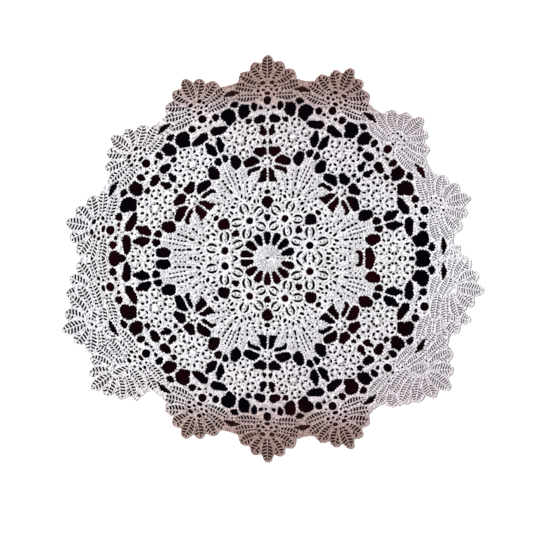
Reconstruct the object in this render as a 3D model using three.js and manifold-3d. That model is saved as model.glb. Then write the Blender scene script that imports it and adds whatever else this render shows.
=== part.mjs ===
// Round openwork lace coaster, one flat embroidered piece that lies on a table.
// It is built in millimetres with +Z up. The origin is under the middle of its centre disc.
//
// The lace is a ring of like wedges. A wheel of spokes and a floret with a fan stand by turns on the axes
// between the wedges, and a six-petalled flower stands in the middle of each wedge. Each axis ends in a
// scallop of leaves. The upper half is laid out from right to left, and the lower half is its mirror image,
// but for four scallops at its sides that reach further out.
// A place in the lace is given in the even repeat, as millimetres across and out along an axis, and is then
// moved to where that axis really lies, so the coaster is as uneven as pinned-out lace is.

import * as THREE from 'three';
import { mergeVertices } from 'three/addons/utils/BufferGeometryUtils.js';
import { ConvexGeometry } from 'three/addons/geometries/ConvexGeometry.js';
import Module from 'manifold-3d';

// Driving dimensions in millimetres
const GROUND = 1.2; // thickness of the bars and the ground between the motifs
const RAISED = 0.7; // height of a filled motif over the ground
const ROOT = 0.4; // depth to which a raised motif runs into the ground
const EVEN_TIP = 100; // reach of a scallop in the even repeat
const REPEAT = 360 / 14; // degrees from one axis to the next in the even repeat
const EDGE_STEPS = 3; // straight steps in each curve of the edge
const MIRROR_BAR = 0.4; // least distance from the mirror line to a gap that stops short of it
const ORIGIN = new THREE.Vector2(0, 0);

// The axes of the upper half from right to left: the motif on each, its direction in degrees and its reach.
// The first and the last lie below the mirror line, so only the near side of their motifs shows.
const AXES = [
  { motif: 'wheel', turn: -8.3, tip: 103.0 },
  { motif: 'floret', turn: 17.0, tip: 103.9 },
  { motif: 'wheel', turn: 42.3, tip: 102.7 },
  { motif: 'floret', turn: 66.2, tip: 102.0 },
  { motif: 'wheel', turn: 90.0, tip: 100.0 },
  { motif: 'floret', turn: 115.0, tip: 97.2 },
  { motif: 'wheel', turn: 141.9, tip: 97.4 },
  { motif: 'floret', turn: 169.8, tip: 101.0 },
  { motif: 'wheel', turn: 196.8, tip: 101.0 },
];

// The scallops of the lower half that reach past the mirrored ones, over which they lie: direction in degrees,
// reach, spread to the sides as a share of the even repeat, and the radius at which they run into the lace.
const LOWER_SCALLOPS = [
  { turn: -8.5, tip: 107.0, spread: 1.0, root: 88.6 },
  { turn: -35.5, tip: 110.0, spread: 1.0, root: 88.7 },
  { turn: -143.5, tip: 108.0, spread: 0.85, root: 84.8 },
  { turn: -160.5, tip: 107.0, spread: 1.0, root: 85.2 },
];
const LOWER_LEAF_ROWS = 2; // rows of the leaf table that a lower scallop has
const ROOT_STEPS = 6; // straight steps in the inner edge of a lower scallop

// Half of a scallop's edge, from its tip to the valley: each curve bulges to its crown and ends in a notch.
const EDGE = [
  { crownAcross: 2.2, crownOut: 99.6, notchAcross: 2.9, notchOut: 96.4 },
  { crownAcross: 9.4, crownOut: 98.0, notchAcross: 9.2, notchOut: 91.4 },
  { crownAcross: 15.6, crownOut: 93.2, notchAcross: 15.0, notchOut: 87.8 },
  { crownAcross: 17.0, crownOut: 86.6, notchAcross: 19.7, notchOut: 86.4 },
];

// Gaps over about 4 mm, beside the axis of their motif. A gap off its axis has a twin on the other side,
// and a gap in the flower's row is counted from the flower's own axis towards the floret.
const GAPS = [
  { name: 'diamond', about: 'wheel', across: 0, out: 20.4, wide: 3.0, tall: 4.4, lean: 0, corners: 4 },
  { name: 'heart', about: 'wheel', across: 0, out: 27.6, wide: 5.4, tall: 6.4, lean: 180, corners: 5 },
  { name: 'below hub', about: 'wheel', across: 2.0, out: 41.0, wide: 3.0, tall: 7.0, lean: 6, corners: 5 },
  { name: 'low side', about: 'wheel', across: 6.4, out: 44.1, wide: 6.8, tall: 2.1, lean: -22, corners: 5 },
  { name: 'side', about: 'wheel', across: 7.5, out: 48.1, wide: 7.2, tall: 4.2, lean: -8, corners: 6 },
  { name: 'above hub', about: 'wheel', across: 3.8, out: 52.1, wide: 6.2, tall: 3.8, lean: 12, corners: 6 },
  { name: 'tall', about: 'wheel', across: 2.5, out: 62.4, wide: 3.8, tall: 6.4, lean: 0, corners: 6 },
  { name: 'oval', about: 'wheel', across: 4.1, out: 68.6, wide: 6.0, tall: 4.2, lean: 0, corners: 6 },
  { name: 'eye', about: 'wheel', across: 0, out: 77.6, wide: 4.2, tall: 4.4, lean: 0, corners: 5 },
  { name: 'bud', about: 'floret', across: 0, out: 20.8, wide: 3.4, tall: 3.4, lean: 0, corners: 6 },
  { name: 'fan corner', about: 'floret', across: 6.2, out: 50.6, wide: 5.2, tall: 6.6, lean: 0, corners: 6 },
  { name: 'tall', about: 'floret', across: 2.6, out: 61.6, wide: 4.0, tall: 8.0, lean: 0, corners: 6 },
  { name: 'oval', about: 'floret', across: 5.0, out: 68.6, wide: 8.4, tall: 4.2, lean: 0, corners: 6 },
  { name: 'eye', about: 'floret', across: 0, out: 77.7, wide: 4.2, tall: 4.2, lean: 0, corners: 5 },
  { name: 'near wheel', about: 'flower', across: -4.9, out: 73.4, wide: 7.2, tall: 7.8, lean: 0, corners: 7 },
  { name: 'near floret', about: 'flower', across: 3.7, out: 73.2, wide: 7.0, tall: 8.0, lean: 0, corners: 7 },
  { name: 'small diamond', about: 'flower', across: -0.5, out: 78.1, wide: 4.4, tall: 3.2, lean: 0, corners: 4 },
  { name: 'valley', about: 'flower', across: -0.4, out: 84.0, wide: 8.4, tall: 2.6, lean: 0, corners: 5 },
];

// The ring of gaps round the centre disc, one on each axis.
const CENTRE_GAP = { across: 0, out: 10.3, wide: 3.3, tall: 6.4, lean: 180, corners: 5 };

// Filled motifs raised over the ground, from root to end and half as wide as stated at their widest.
const FINGERS = [
  { rootAcross: 0, rootOut: 33.5, endAcross: 0, endOut: 51.0, halfWide: 2.9 },
  { rootAcross: 5.0, rootOut: 34.0, endAcross: 8.6, endOut: 47.6, halfWide: 2.1 },
  { rootAcross: 7.6, rootOut: 32.4, endAcross: 13.6, endOut: 39.2, halfWide: 1.7 },
];
const LEAVES = [
  { rootAcross: 0, rootOut: 88.4, endAcross: 0, endOut: 98.8, halfWide: 2.1 },
  { rootAcross: 1.8, rootOut: 88.2, endAcross: 7.4, endOut: 95.2, halfWide: 1.8 },
  { rootAcross: 4.4, rootOut: 86.2, endAcross: 13.4, endOut: 90.4, halfWide: 1.8 },
  { rootAcross: 5.4, rootOut: 83.6, endAcross: 15.0, endOut: 85.4, halfWide: 1.4 },
  { rootAcross: 4.4, rootOut: 80.2, endAcross: 14.6, endOut: 79.4, halfWide: 1.8 },
];
const PETAL_RINGS = [
  { about: 'floret', out: 20.8, petals: 5, from: 2.8, to: 8.4, halfWide: 2.5 },
  { about: 'flower', out: 60.3, petals: 6, from: 3.6, to: 10.0, halfWide: 2.7 },
];
const HUBS = [{ about: 'wheel', out: 47.4, radius: 2.5 }];
const CENTRE_DISC = { radius: 6.0, corners: 14 };

// The widest points of a raised motif, as shares of its length and of its half width.
const PETAL_WIDTHS = [
  { along: 0.0, side: 0.0 },
  { along: 0.5, side: 1.0 },
  { along: 0.95, side: 0.6 },
];
const LEAF_WIDTHS = [
  { along: 0.0, side: 0.0 },
  { along: 0.55, side: 1.0 },
  { along: 1.0, side: 0.0 },
];

// A value of the axis table at a place between two axes.
function between(column, place) {
  const low = THREE.MathUtils.clamp(Math.floor(place), 0, AXES.length - 2);
  return THREE.MathUtils.lerp(AXES[low][column], AXES[low + 1][column], place - low);
}

// Where a point of the even repeat lies. The axis is counted along the table, and half a step is a flower.
function settle(axis, across, out) {
  const place = axis + THREE.MathUtils.radToDeg(Math.atan2(across, out)) / REPEAT;
  const turn = THREE.MathUtils.degToRad(between('turn', place));
  const radius = (Math.hypot(across, out) * between('tip', place)) / EVEN_TIP;
  return new THREE.Vector2(radius * Math.cos(turn), radius * Math.sin(turn));
}

// Where a point of the even repeat lies on a lower scallop.
function settleLower(scallop, across, out) {
  const turn = THREE.MathUtils.degToRad(scallop.turn) + scallop.spread * Math.atan2(across, out);
  const radius = (Math.hypot(across, out) * scallop.tip) / EVEN_TIP;
  return new THREE.Vector2(radius * Math.cos(turn), radius * Math.sin(turn));
}

// The places along the axis table where a motif stands, each with the side on which it looks at the floret.
function standsOf(motif) {
  if (motif !== 'flower') {
    return AXES.flatMap((axis, index) => (axis.motif === motif ? [{ axis: index, side: 1 }] : []));
  }
  return AXES.slice(0, -1).map((axis, index) => ({ axis: index + 0.5, side: axis.motif === 'wheel' ? 1 : -1 }));
}

function mirrored(point) {
  return new THREE.Vector2(point.x, -point.y);
}

// The part of a loop above the mirror line.
function partAbove(loop) {
  const kept = [];
  loop.forEach((point, index) => {
    const next = loop[(index + 1) % loop.length];
    if (point.y >= 0) kept.push(point);
    if (point.y * next.y < 0) {
      const share = point.y / (point.y - next.y);
      kept.push(new THREE.Vector2(THREE.MathUtils.lerp(point.x, next.x, share), 0));
    }
  });
  return kept;
}

// A loop that crosses the mirror line, closed by its own image below the line.
function joinedToImage(loop) {
  const kept = partAbove(loop);
  const entry = kept.findIndex((point, index) => point.y === 0 && kept.at(index - 1).y === 0);
  const chain = [...kept.slice(entry), ...kept.slice(0, entry)];
  const image = chain.slice(1, -1).reverse().map(mirrored);
  return [...chain, ...image];
}

// The loops of the whole coaster that one loop of the upper half stands for: none where most of it lies below.
function wholeLoops(loop) {
  const heights = loop.map((point) => point.y);
  const middle = heights.reduce((sum, height) => sum + height, 0) / heights.length;
  if (middle < 0) return [];
  if (Math.min(...heights) > MIRROR_BAR) return [loop, loop.map(mirrored)];
  if (Math.min(...heights) < 0) return [joinedToImage(loop)];
  const raised = loop.map((point) => new THREE.Vector2(point.x, Math.max(point.y, MIRROR_BAR)));
  return [raised, raised.map(mirrored)];
}

// A gap as a loop of corners on an oval, the first corner outward.
function gapLoop(gap, axis, side) {
  const loop = [];
  for (let corner = 0; corner < gap.corners; corner += 1) {
    const swing = Math.PI / 2 + (2 * Math.PI * corner) / gap.corners;
    const spot = new THREE.Vector2((gap.wide / 2) * Math.cos(swing), (gap.tall / 2) * Math.sin(swing));
    spot.rotateAround(ORIGIN, THREE.MathUtils.degToRad(gap.lean));
    loop.push(settle(axis, side * (gap.across + spot.x), gap.out + spot.y));
  }
  return loop;
}

function allGapLoops() {
  const loops = AXES.flatMap((axis, index) => wholeLoops(gapLoop(CENTRE_GAP, index, 1)));
  for (const gap of GAPS) {
    const twins = gap.about !== 'flower' && gap.across !== 0 ? [1, -1] : [1];
    for (const stand of standsOf(gap.about)) {
      for (const twin of twins) loops.push(...wholeLoops(gapLoop(gap, stand.axis, stand.side * twin)));
    }
  }
  return loops;
}

// Half of a scallop's edge in the even repeat, from its tip to the valley.
function halfEdge() {
  const points = [];
  let start = new THREE.Vector2(0, EVEN_TIP);
  for (const row of EDGE) {
    const crown = new THREE.Vector2(row.crownAcross, row.crownOut);
    const notch = new THREE.Vector2(row.notchAcross, row.notchOut);
    points.push(...new THREE.QuadraticBezierCurve(start, crown, notch).getPoints(EDGE_STEPS).slice(0, -1));
    start = notch;
  }
  return points;
}

// A scallop's edge, from the valley on its one side to the last point before the valley on its other side.
function scallopEdge() {
  const half = halfEdge();
  const valley = EDGE.at(-1);
  const farSide = half.slice(1).reverse().map((point) => new THREE.Vector2(-point.x, point.y));
  return [new THREE.Vector2(-valley.notchAcross, valley.notchOut), ...farSide, ...half];
}

function coasterEdge() {
  const edge = scallopEdge();
  const points = AXES.flatMap((axis, index) => edge.map((point) => settle(index, point.x, point.y)));
  return joinedToImage(points);
}

function plate(shape) {
  return new THREE.ExtrudeGeometry(shape, { depth: GROUND, bevelEnabled: false });
}

function sheetGeometry() {
  const shape = new THREE.Shape(coasterEdge());
  shape.holes = allGapLoops().map((loop) => new THREE.Path(loop));
  return plate(shape);
}

// The plate of a lower scallop, closed by an arc where it runs into the lace.
function lowerPlate(scallop) {
  const valley = EDGE.at(-1);
  const rootOut = (scallop.root * EVEN_TIP) / scallop.tip;
  const swing = Math.atan2(valley.notchAcross, valley.notchOut);
  const edge = scallopEdge();
  for (let step = 0; step <= ROOT_STEPS; step += 1) {
    const turn = THREE.MathUtils.lerp(swing, -swing, step / ROOT_STEPS);
    edge.push(new THREE.Vector2(rootOut * Math.sin(turn), rootOut * Math.cos(turn)));
  }
  return plate(new THREE.Shape(edge.map((point) => settleLower(scallop, point.x, point.y))));
}

// A low peak over a loop of points, rooted in the ground.
function peak(loop, crest) {
  const corners = loop.map((point) => new THREE.Vector3(point.x, point.y, GROUND - ROOT));
  corners.push(new THREE.Vector3(crest.x, crest.y, GROUND + RAISED));
  return new ConvexGeometry(corners);
}

// The two peaks of the whole coaster for one loop of the upper half, kept off the mirror line.
function peakAndImage(loop, crest) {
  if (crest.y < 2 * MIRROR_BAR) return [];
  const kept = loop.map((point) => new THREE.Vector2(point.x, Math.max(point.y, MIRROR_BAR)));
  return [peak(kept, crest), peak(kept.map(mirrored), mirrored(crest))];
}

// The loop of a raised motif from its root to its end, and its crest, each moved to its place.
function raisedLoop(root, end, halfWide, widths, place) {
  const length = end.clone().sub(root);
  const sideways = new THREE.Vector2(-length.y, length.x).setLength(halfWide);
  const loop = [];
  for (const row of widths) {
    const sides = row.side === 0 ? [0] : [row.side, -row.side];
    for (const side of sides) {
      loop.push(place(root.clone().addScaledVector(length, row.along).addScaledVector(sideways, side)));
    }
  }
  return { loop, crest: place(root.clone().addScaledVector(length, widths[1].along)) };
}

// The loops for rows of a root and an end at one place, with their twins on the other side.
function rowLoops(rows, place) {
  const made = [];
  for (const row of rows) {
    const sides = row.endAcross === 0 ? [1] : [1, -1];
    for (const side of sides) {
      const root = new THREE.Vector2(side * row.rootAcross, row.rootOut);
      const end = new THREE.Vector2(side * row.endAcross, row.endOut);
      made.push(raisedLoop(root, end, row.halfWide, LEAF_WIDTHS, place));
    }
  }
  return made;
}

function axisMotifs(rows, axes) {
  const loops = axes.flatMap((axis) => rowLoops(rows, (point) => settle(axis, point.x, point.y)));
  return loops.flatMap(({ loop, crest }) => peakAndImage(loop, crest));
}

function lowerLeaves(scallop) {
  const loops = rowLoops(LEAVES.slice(0, LOWER_LEAF_ROWS), (point) => settleLower(scallop, point.x, point.y));
  return loops.map(({ loop, crest }) => peak(loop, crest));
}

function petalMotifs() {
  const made = [];
  for (const ring of PETAL_RINGS) {
    const middle = new THREE.Vector2(0, ring.out);
    for (const stand of standsOf(ring.about)) {
      for (let petal = 0; petal < ring.petals; petal += 1) {
        const swing = Math.PI / 2 + (2 * Math.PI * petal) / ring.petals;
        const heading = new THREE.Vector2(Math.cos(swing), Math.sin(swing));
        const root = middle.clone().addScaledVector(heading, ring.from);
        const end = middle.clone().addScaledVector(heading, ring.to);
        const place = (point) => settle(stand.axis, point.x, point.y);
        const { loop, crest } = raisedLoop(root, end, ring.halfWide, PETAL_WIDTHS, place);
        made.push(...peakAndImage(loop, crest));
      }
    }
  }
  return made;
}

function hubMotifs() {
  const made = [];
  for (const hub of HUBS) {
    const round = { across: 0, out: hub.out, wide: 2 * hub.radius, tall: 2 * hub.radius, lean: 0, corners: 6 };
    for (const stand of standsOf(hub.about)) {
      made.push(...peakAndImage(gapLoop(round, stand.axis, 1), settle(stand.axis, 0, hub.out)));
    }
  }
  return made;
}

function centreMotif() {
  const loop = [];
  for (let corner = 0; corner < CENTRE_DISC.corners; corner += 1) {
    const swing = (2 * Math.PI * corner) / CENTRE_DISC.corners;
    loop.push(new THREE.Vector2(CENTRE_DISC.radius * Math.cos(swing), CENTRE_DISC.radius * Math.sin(swing)));
  }
  return peak(loop, ORIGIN);
}

const wasm = await Module();
wasm.setup();

function solidOf(geometry) {
  const bare = new THREE.BufferGeometry();
  bare.setAttribute('position', geometry.getAttribute('position'));
  bare.setIndex(geometry.index);
  const merged = mergeVertices(bare, 1e-4);
  const vertProperties = merged.getAttribute('position').array;
  const triVerts = new Uint32Array(merged.index.array);
  return new wasm.Manifold(new wasm.Mesh({ numProp: 3, vertProperties, triVerts }));
}

function geometryOf(solid) {
  const mesh = solid.getMesh();
  const geometry = new THREE.BufferGeometry();
  geometry.setAttribute('position', new THREE.BufferAttribute(new Float32Array(mesh.vertProperties), 3));
  geometry.setIndex(new THREE.BufferAttribute(new Uint32Array(mesh.triVerts), 1));
  geometry.computeVertexNormals();
  return geometry;
}

function laceGeometry() {
  const everyAxis = AXES.map((axis, index) => index);
  const floretAxes = standsOf('floret').map((stand) => stand.axis);
  const raised = [
    centreMotif(),
    ...petalMotifs(),
    ...hubMotifs(),
    ...axisMotifs(FINGERS, floretAxes),
    ...axisMotifs(LEAVES, everyAxis),
    ...LOWER_SCALLOPS.flatMap(lowerLeaves),
  ];
  let solid = solidOf(sheetGeometry());
  for (const piece of [...LOWER_SCALLOPS.map(lowerPlate), ...raised]) solid = solid.add(solidOf(piece));
  return geometryOf(solid);
}

const cotton = new THREE.MeshStandardMaterial({ color: 0xe9e4ea, roughness: 0.95, metalness: 0 });
const lace = new THREE.Mesh(laceGeometry(), cotton);
lace.name = 'lace';

const coaster = new THREE.Group();
coaster.add(lace);
export default coaster;
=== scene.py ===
import math
from collections import namedtuple

import bpy
import numpy as np
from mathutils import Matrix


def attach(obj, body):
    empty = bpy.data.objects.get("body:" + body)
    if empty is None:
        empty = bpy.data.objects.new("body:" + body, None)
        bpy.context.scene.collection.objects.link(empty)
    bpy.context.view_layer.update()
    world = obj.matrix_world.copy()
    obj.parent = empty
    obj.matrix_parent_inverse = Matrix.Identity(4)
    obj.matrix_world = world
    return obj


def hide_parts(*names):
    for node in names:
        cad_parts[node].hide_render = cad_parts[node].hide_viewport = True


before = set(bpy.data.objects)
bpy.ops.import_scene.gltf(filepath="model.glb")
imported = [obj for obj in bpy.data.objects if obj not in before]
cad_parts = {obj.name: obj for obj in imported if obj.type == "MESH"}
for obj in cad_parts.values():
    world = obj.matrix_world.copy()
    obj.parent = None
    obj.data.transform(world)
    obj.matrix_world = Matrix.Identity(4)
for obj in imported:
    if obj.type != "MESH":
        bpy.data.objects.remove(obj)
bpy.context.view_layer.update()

MM = 0.001

# Layout of the round, in millimetres

# Axes of the scallops, counter-clockwise: what stands on each, its turn in degrees and its tip's reach.
AXES = (
    ("wheel", -8.3, 103.0),
    ("floret", 17.0, 103.9),
    ("wheel", 42.3, 102.7),
    ("floret", 66.2, 102.0),
    ("wheel", 90.0, 100.0),
    ("floret", 115.0, 97.2),
    ("wheel", 141.9, 97.4),
    ("floret", 169.8, 101.0),
    ("wheel", 196.8, 101.0),
)
AXIS_TURNS = np.array([axis[1] for axis in AXES])
AXIS_TIPS = np.array([axis[2] for axis in AXES])
EVEN_TIP = 100.0
REPEAT = 360 / 14


def at_turn(radius, turn):
    """The points at that distance and turn from the middle."""
    return np.stack([radius * np.cos(turn), radius * np.sin(turn)], axis=-1)


def settle(place, points):
    """Where points of the even repeat, as across and out, lie on the uneven coaster."""
    across, out = points[:, 0], points[:, 1]
    spot = place + np.degrees(np.arctan2(across, out)) / REPEAT
    index = np.clip(np.floor(spot).astype(int), 0, len(AXES) - 2)
    part = spot - index
    turn = np.radians(AXIS_TURNS[index] + (AXIS_TURNS[index + 1] - AXIS_TURNS[index]) * part)
    tip = AXIS_TIPS[index] + (AXIS_TIPS[index + 1] - AXIS_TIPS[index]) * part
    return at_turn(np.hypot(across, out) * tip / EVEN_TIP, turn)


def heading(degrees):
    """The unit direction at that angle, counted from across towards out."""
    turn = math.radians(degrees)
    return np.array([math.cos(turn), math.sin(turn)])


def beside(ahead):
    """The direction a quarter turn to the left."""
    return np.stack([-ahead[..., 1], ahead[..., 0]], axis=-1)


# Strokes

# A stroke of stitches: its points as across and out, half its width at each, how high it rises and
# whether its ends meet.
Stroke = namedtuple("Stroke", "points half rise closed")
STEP = 0.5
LEAST_CORNERS = 10
CURVE_STEPS = 20
CORD_RISE = 0.95
LOOP_RISE = 1.2
PAD_RISE = 1.4
SATIN_RISE = 1.65
# The share of its width that a padded stroke has, from its root to its tip.
FULLNESS = np.array([0.55, 0.75, 0.9, 0.98, 1.0, 1.0, 0.95, 0.8, 0.45])


def spread_turns(count, first=0):
    """Angles spread evenly all round, in degrees."""
    return first + np.arange(count) * 360 / count


def along(points, half, rise, closed=False):
    """A stroke through the points, with steps short enough to bend with the round."""
    points = np.asarray(points, dtype=float)
    half = np.broadcast_to(np.asarray(half, dtype=float), len(points))
    if closed:
        return Stroke(points, half.copy(), rise, True)
    path = [points[:1]]
    widths = [half[:1]]
    for start, end, half_start, half_end in zip(points[:-1], points[1:], half[:-1], half[1:]):
        count = max(1, math.ceil(np.linalg.norm(end - start) / STEP))
        part = np.linspace(0, 1, count + 1)[1:, None]
        path.append(start + (end - start) * part)
        widths.append(half_start + (half_end - half_start) * part[:, 0])
    return Stroke(np.concatenate(path), np.concatenate(widths), rise, False)


def oval_points(centre, lean, long_half, wide_half, corners):
    """Points round an oval with its long way at that angle."""
    angle = np.linspace(0, 2 * math.pi, corners, endpoint=False)[:, None]
    forward = heading(lean)
    sideways = beside(forward)
    return np.asarray(centre) + forward * long_half * np.cos(angle) + sideways * wide_half * np.sin(angle)


def oval(centre, lean, long_half, wide_half, half, rise=LOOP_RISE):
    """A closed loop of cord with its long way at that angle."""
    corners = max(LEAST_CORNERS, math.ceil(math.pi * (long_half + wide_half) / STEP))
    return along(oval_points(centre, lean, long_half, wide_half, corners), half, rise, closed=True)


def ring(centre, radius, half, lean=90):
    """A round loop of cord that starts at that angle."""
    return oval(centre, lean, radius, radius, half)


def tongue(root, tip, half, rise=SATIN_RISE):
    """A padded stroke, narrow at its root, full in the middle and round at its tip."""
    root, tip = np.asarray(root, dtype=float), np.asarray(tip, dtype=float)
    part = np.linspace(0, 1, len(FULLNESS))[:, None]
    return along(root + (tip - root) * part, half * FULLNESS, rise)


def pad(middle, lean, reach, half, rise=SATIN_RISE):
    """A padded stroke that reaches equally far to both sides of its middle, at that angle."""
    ahead = heading(lean) * reach
    return tongue(middle - ahead, middle + ahead, half, rise)


def evenly(points, count):
    """Points spaced evenly along a chain of points."""
    reach = np.concatenate([[0], np.cumsum(np.linalg.norm(np.diff(points, axis=0), axis=1))])
    wanted = np.linspace(0, reach[-1], count)
    return np.stack([np.interp(wanted, reach, values) for values in points.T], axis=-1)


def smooth_path(points, count):
    """Points spaced evenly on a smooth curve through the given ones."""
    points = np.asarray(points, dtype=float)
    ends = np.vstack([2 * points[0] - points[1], points, 2 * points[-1] - points[-2]])
    fine = []
    for before, start, end, after in zip(ends[:-3], ends[1:-2], ends[2:-1], ends[3:]):
        part = np.linspace(0, 1, CURVE_STEPS, endpoint=False)[:, None]
        fine.append(0.5 * (2 * start + (end - before) * part
                           + (2 * before - 5 * start + 4 * end - after) * part ** 2
                           + (3 * start - before - 3 * end + after) * part ** 3))
    return evenly(np.vstack(fine + [points[-1:]]), count)


def directions(points):
    """The unit direction of a chain at each of its points."""
    ahead = np.gradient(points, axis=0)
    return ahead / np.maximum(np.linalg.norm(ahead, axis=1)[:, None], 1e-9)


# Barbs of a feathery finger: half their width, the share of it at their root, their pitch, how far they
# sweep forward, and their least number and reach.
BARB = 0.4
BARB_ROOT = 0.8
BARB_PITCH = 1.3
BARB_SWEEP = 0.5
LEAST_BARBS = 3
LEAST_BARB = 0.1


def feather(spine, widths, spine_half, rise):
    """A finger of slanting stitches: a spine and barbs on both its sides, which leave a toothed edge."""
    spine = np.asarray(spine, dtype=float)
    length = np.sum(np.linalg.norm(np.diff(spine, axis=0), axis=1))
    count = max(LEAST_BARBS, round(length / BARB_PITCH)) + 1
    width = np.interp(np.linspace(0, 1, count), np.linspace(0, 1, len(widths)), widths)
    path = smooth_path(spine, count)
    ahead = directions(path)
    strokes = [along(path, spine_half, rise)]
    for spot, forward, sideways, reach in zip(path, ahead, beside(ahead), width):
        for side in (-1, 1):
            end = spot + (side * sideways + BARB_SWEEP * forward) * max(reach - BARB, LEAST_BARB)
            strokes.append(along([spot, end], [BARB * BARB_ROOT, BARB], rise))
    return strokes


def with_twins(things):
    """The strokes or gaps and their twins on the other side of the axis."""
    return list(things) + [thing._replace(points=thing.points * [-1, 1]) for thing in things]


def shown_parts(stroke, hidden):
    """The parts of a stroke whose points aren't hidden."""
    if not hidden.any():
        return [stroke]
    points, half = stroke.points, stroke.half
    if stroke.closed:
        first = int(np.argmax(hidden))
        points, half, hidden = [np.roll(values, -first, axis=0) for values in (points, half, hidden)]
    runs = np.split(np.arange(len(hidden)), np.nonzero(np.diff(hidden.astype(int)))[0] + 1)
    shown = [run for run in runs if not hidden[run[0]] and len(run) > 1]
    return [Stroke(points[run], half[run], stroke.rise, False) for run in shown]


# Gaps

# A gap: the points of its edge as across and out, and half the width of the cord round it, if any.
Gap = namedtuple("Gap", "points rim")
RIM = 0.36
FINE_RIM = 0.28
GAP_GROWTH = 0.47
DOT_GROWTH = 0.24
TOOTH_STEP = 0.75
LEAST_TEETH = 4
TEETH = (0.1, 0.5)
CORNER_CUT = 0.12
CORNER_KEPT = 0.88
RIM_SHARE = 0.85
# The share of its width that a slit has, from end to end.
SLIT_TAPER = np.array([0.35, 0.9, 1.0, 1.0, 0.9, 0.35])
RANDOM = np.random.default_rng(14)


def rounded(corners):
    """A closed loop with its corners cut round."""
    points = np.asarray(corners, dtype=float)
    after = np.roll(points, -1, axis=0)
    ends = [CORNER_KEPT * points + CORNER_CUT * after, CORNER_CUT * points + CORNER_KEPT * after]
    return np.stack(ends, axis=1).reshape(-1, 2)


def grown(loop, distance):
    """The loop moved outwards by that distance, or each of its points by its own."""
    ahead = np.roll(loop, -1, axis=0) - np.roll(loop, 1, axis=0)
    ahead /= np.linalg.norm(ahead, axis=1)[:, None]
    after = np.roll(loop, -1, axis=0)
    way = np.sign(np.sum(loop[:, 0] * after[:, 1] - after[:, 0] * loop[:, 1]))
    return loop - way * beside(ahead) * distance


def toothed_gap(corners):
    """A gap whose edge goes in and out a little, as stitches leave it, with a cord round it."""
    loop = grown(rounded(corners), GAP_GROWTH)
    closed = np.vstack([loop, loop[:1]])
    length = np.sum(np.linalg.norm(np.diff(closed, axis=0), axis=1))
    count = 2 * max(LEAST_TEETH, round(0.5 * length / TOOTH_STEP))
    teeth = RANDOM.uniform(*TEETH, (count, 1))
    teeth[1::2] *= -1
    return Gap(grown(evenly(closed, count + 1)[:-1], teeth), RIM)


def dot(across, out, wide, tall, lean=0.0, rim=0.0, corners=6):
    """A small round or oval gap."""
    loop = oval_points((across, out), lean, 0.5 * wide + DOT_GROWTH, 0.5 * tall + DOT_GROWTH, corners)
    return Gap(loop, rim)


def slit(points, half):
    """A narrow gap along a path, pointed at its ends."""
    path = smooth_path(points, len(SLIT_TAPER))
    sideways = beside(directions(path)) * half * SLIT_TAPER[:, None]
    return Gap(np.vstack([path - sideways, (path + sideways)[::-1]]), 0.0)


def rims(gaps):
    """The cords round those gaps that have one."""
    return [along(grown(gap.points, RIM_SHARE * gap.rim), gap.rim, CORD_RISE, closed=True)
            for gap in gaps if gap.rim]


# Corners of the gaps beside a wheel's axis, as across and out. Each has a twin on the other side.
WHEEL_GAPS = (
    ((0.6, 44.5), (1.9, 44.3), (3.4, 42.3), (3.9, 39.2), (5.4, 37.7), (3.0, 38.0), (0.6, 37.9)),
    ((3.3, 45.7), (6.4, 44.8), (10.2, 43.7), (10.1, 41.2), (9.0, 41.3), (8.4, 43.0), (5.8, 43.6),
     (4.2, 43.9)),
    ((4.0, 48.3), (7.4, 50.8), (12.1, 48.1), (12.0, 46.6), (11.0, 45.4), (4.2, 47.2)),
    ((0.6, 53.9), (0.7, 51.5), (3.4, 50.0), (7.1, 52.6), (6.4, 54.4), (1.6, 54.6)),
    ((1.0, 58.4), (1.7, 58.4), (2.5, 56.5), (2.2, 56.3), (1.0, 56.3)),
    ((0.6, 60.2), (3.9, 61.4), (3.5, 63.2), (3.5, 65.6), (2.4, 65.7), (1.9, 64.0), (0.6, 63.2)),
    ((1.4, 70.0), (3.1, 70.7), (6.6, 69.3), (6.7, 67.3), (5.6, 66.8), (2.0, 67.0), (1.3, 68.2)),
    ((8.0, 69.1), (9.0, 68.8), (10.2, 69.2), (11.3, 68.1), (10.4, 66.9), (8.8, 66.8)),
    ((1.9, 73.8), (4.2, 73.6), (4.2, 75.2), (3.4, 74.9)),
    ((5.0, 75.4), (5.4, 73.2), (6.4, 72.8), (8.0, 73.8), (8.3, 75.6), (7.0, 76.8), (5.8, 76.5)),
)
# Gaps on a wheel's axis.
HEART_GAP = ((0.0, 24.4), (2.7, 27.2), (2.6, 28.8), (1.2, 30.4), (-1.2, 30.4), (-2.6, 28.8), (-2.7, 27.2))
DIAMOND_GAP = ((0.0, 18.5), (1.7, 20.0), (1.2, 21.6), (-1.2, 21.6), (-1.7, 20.0))
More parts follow.
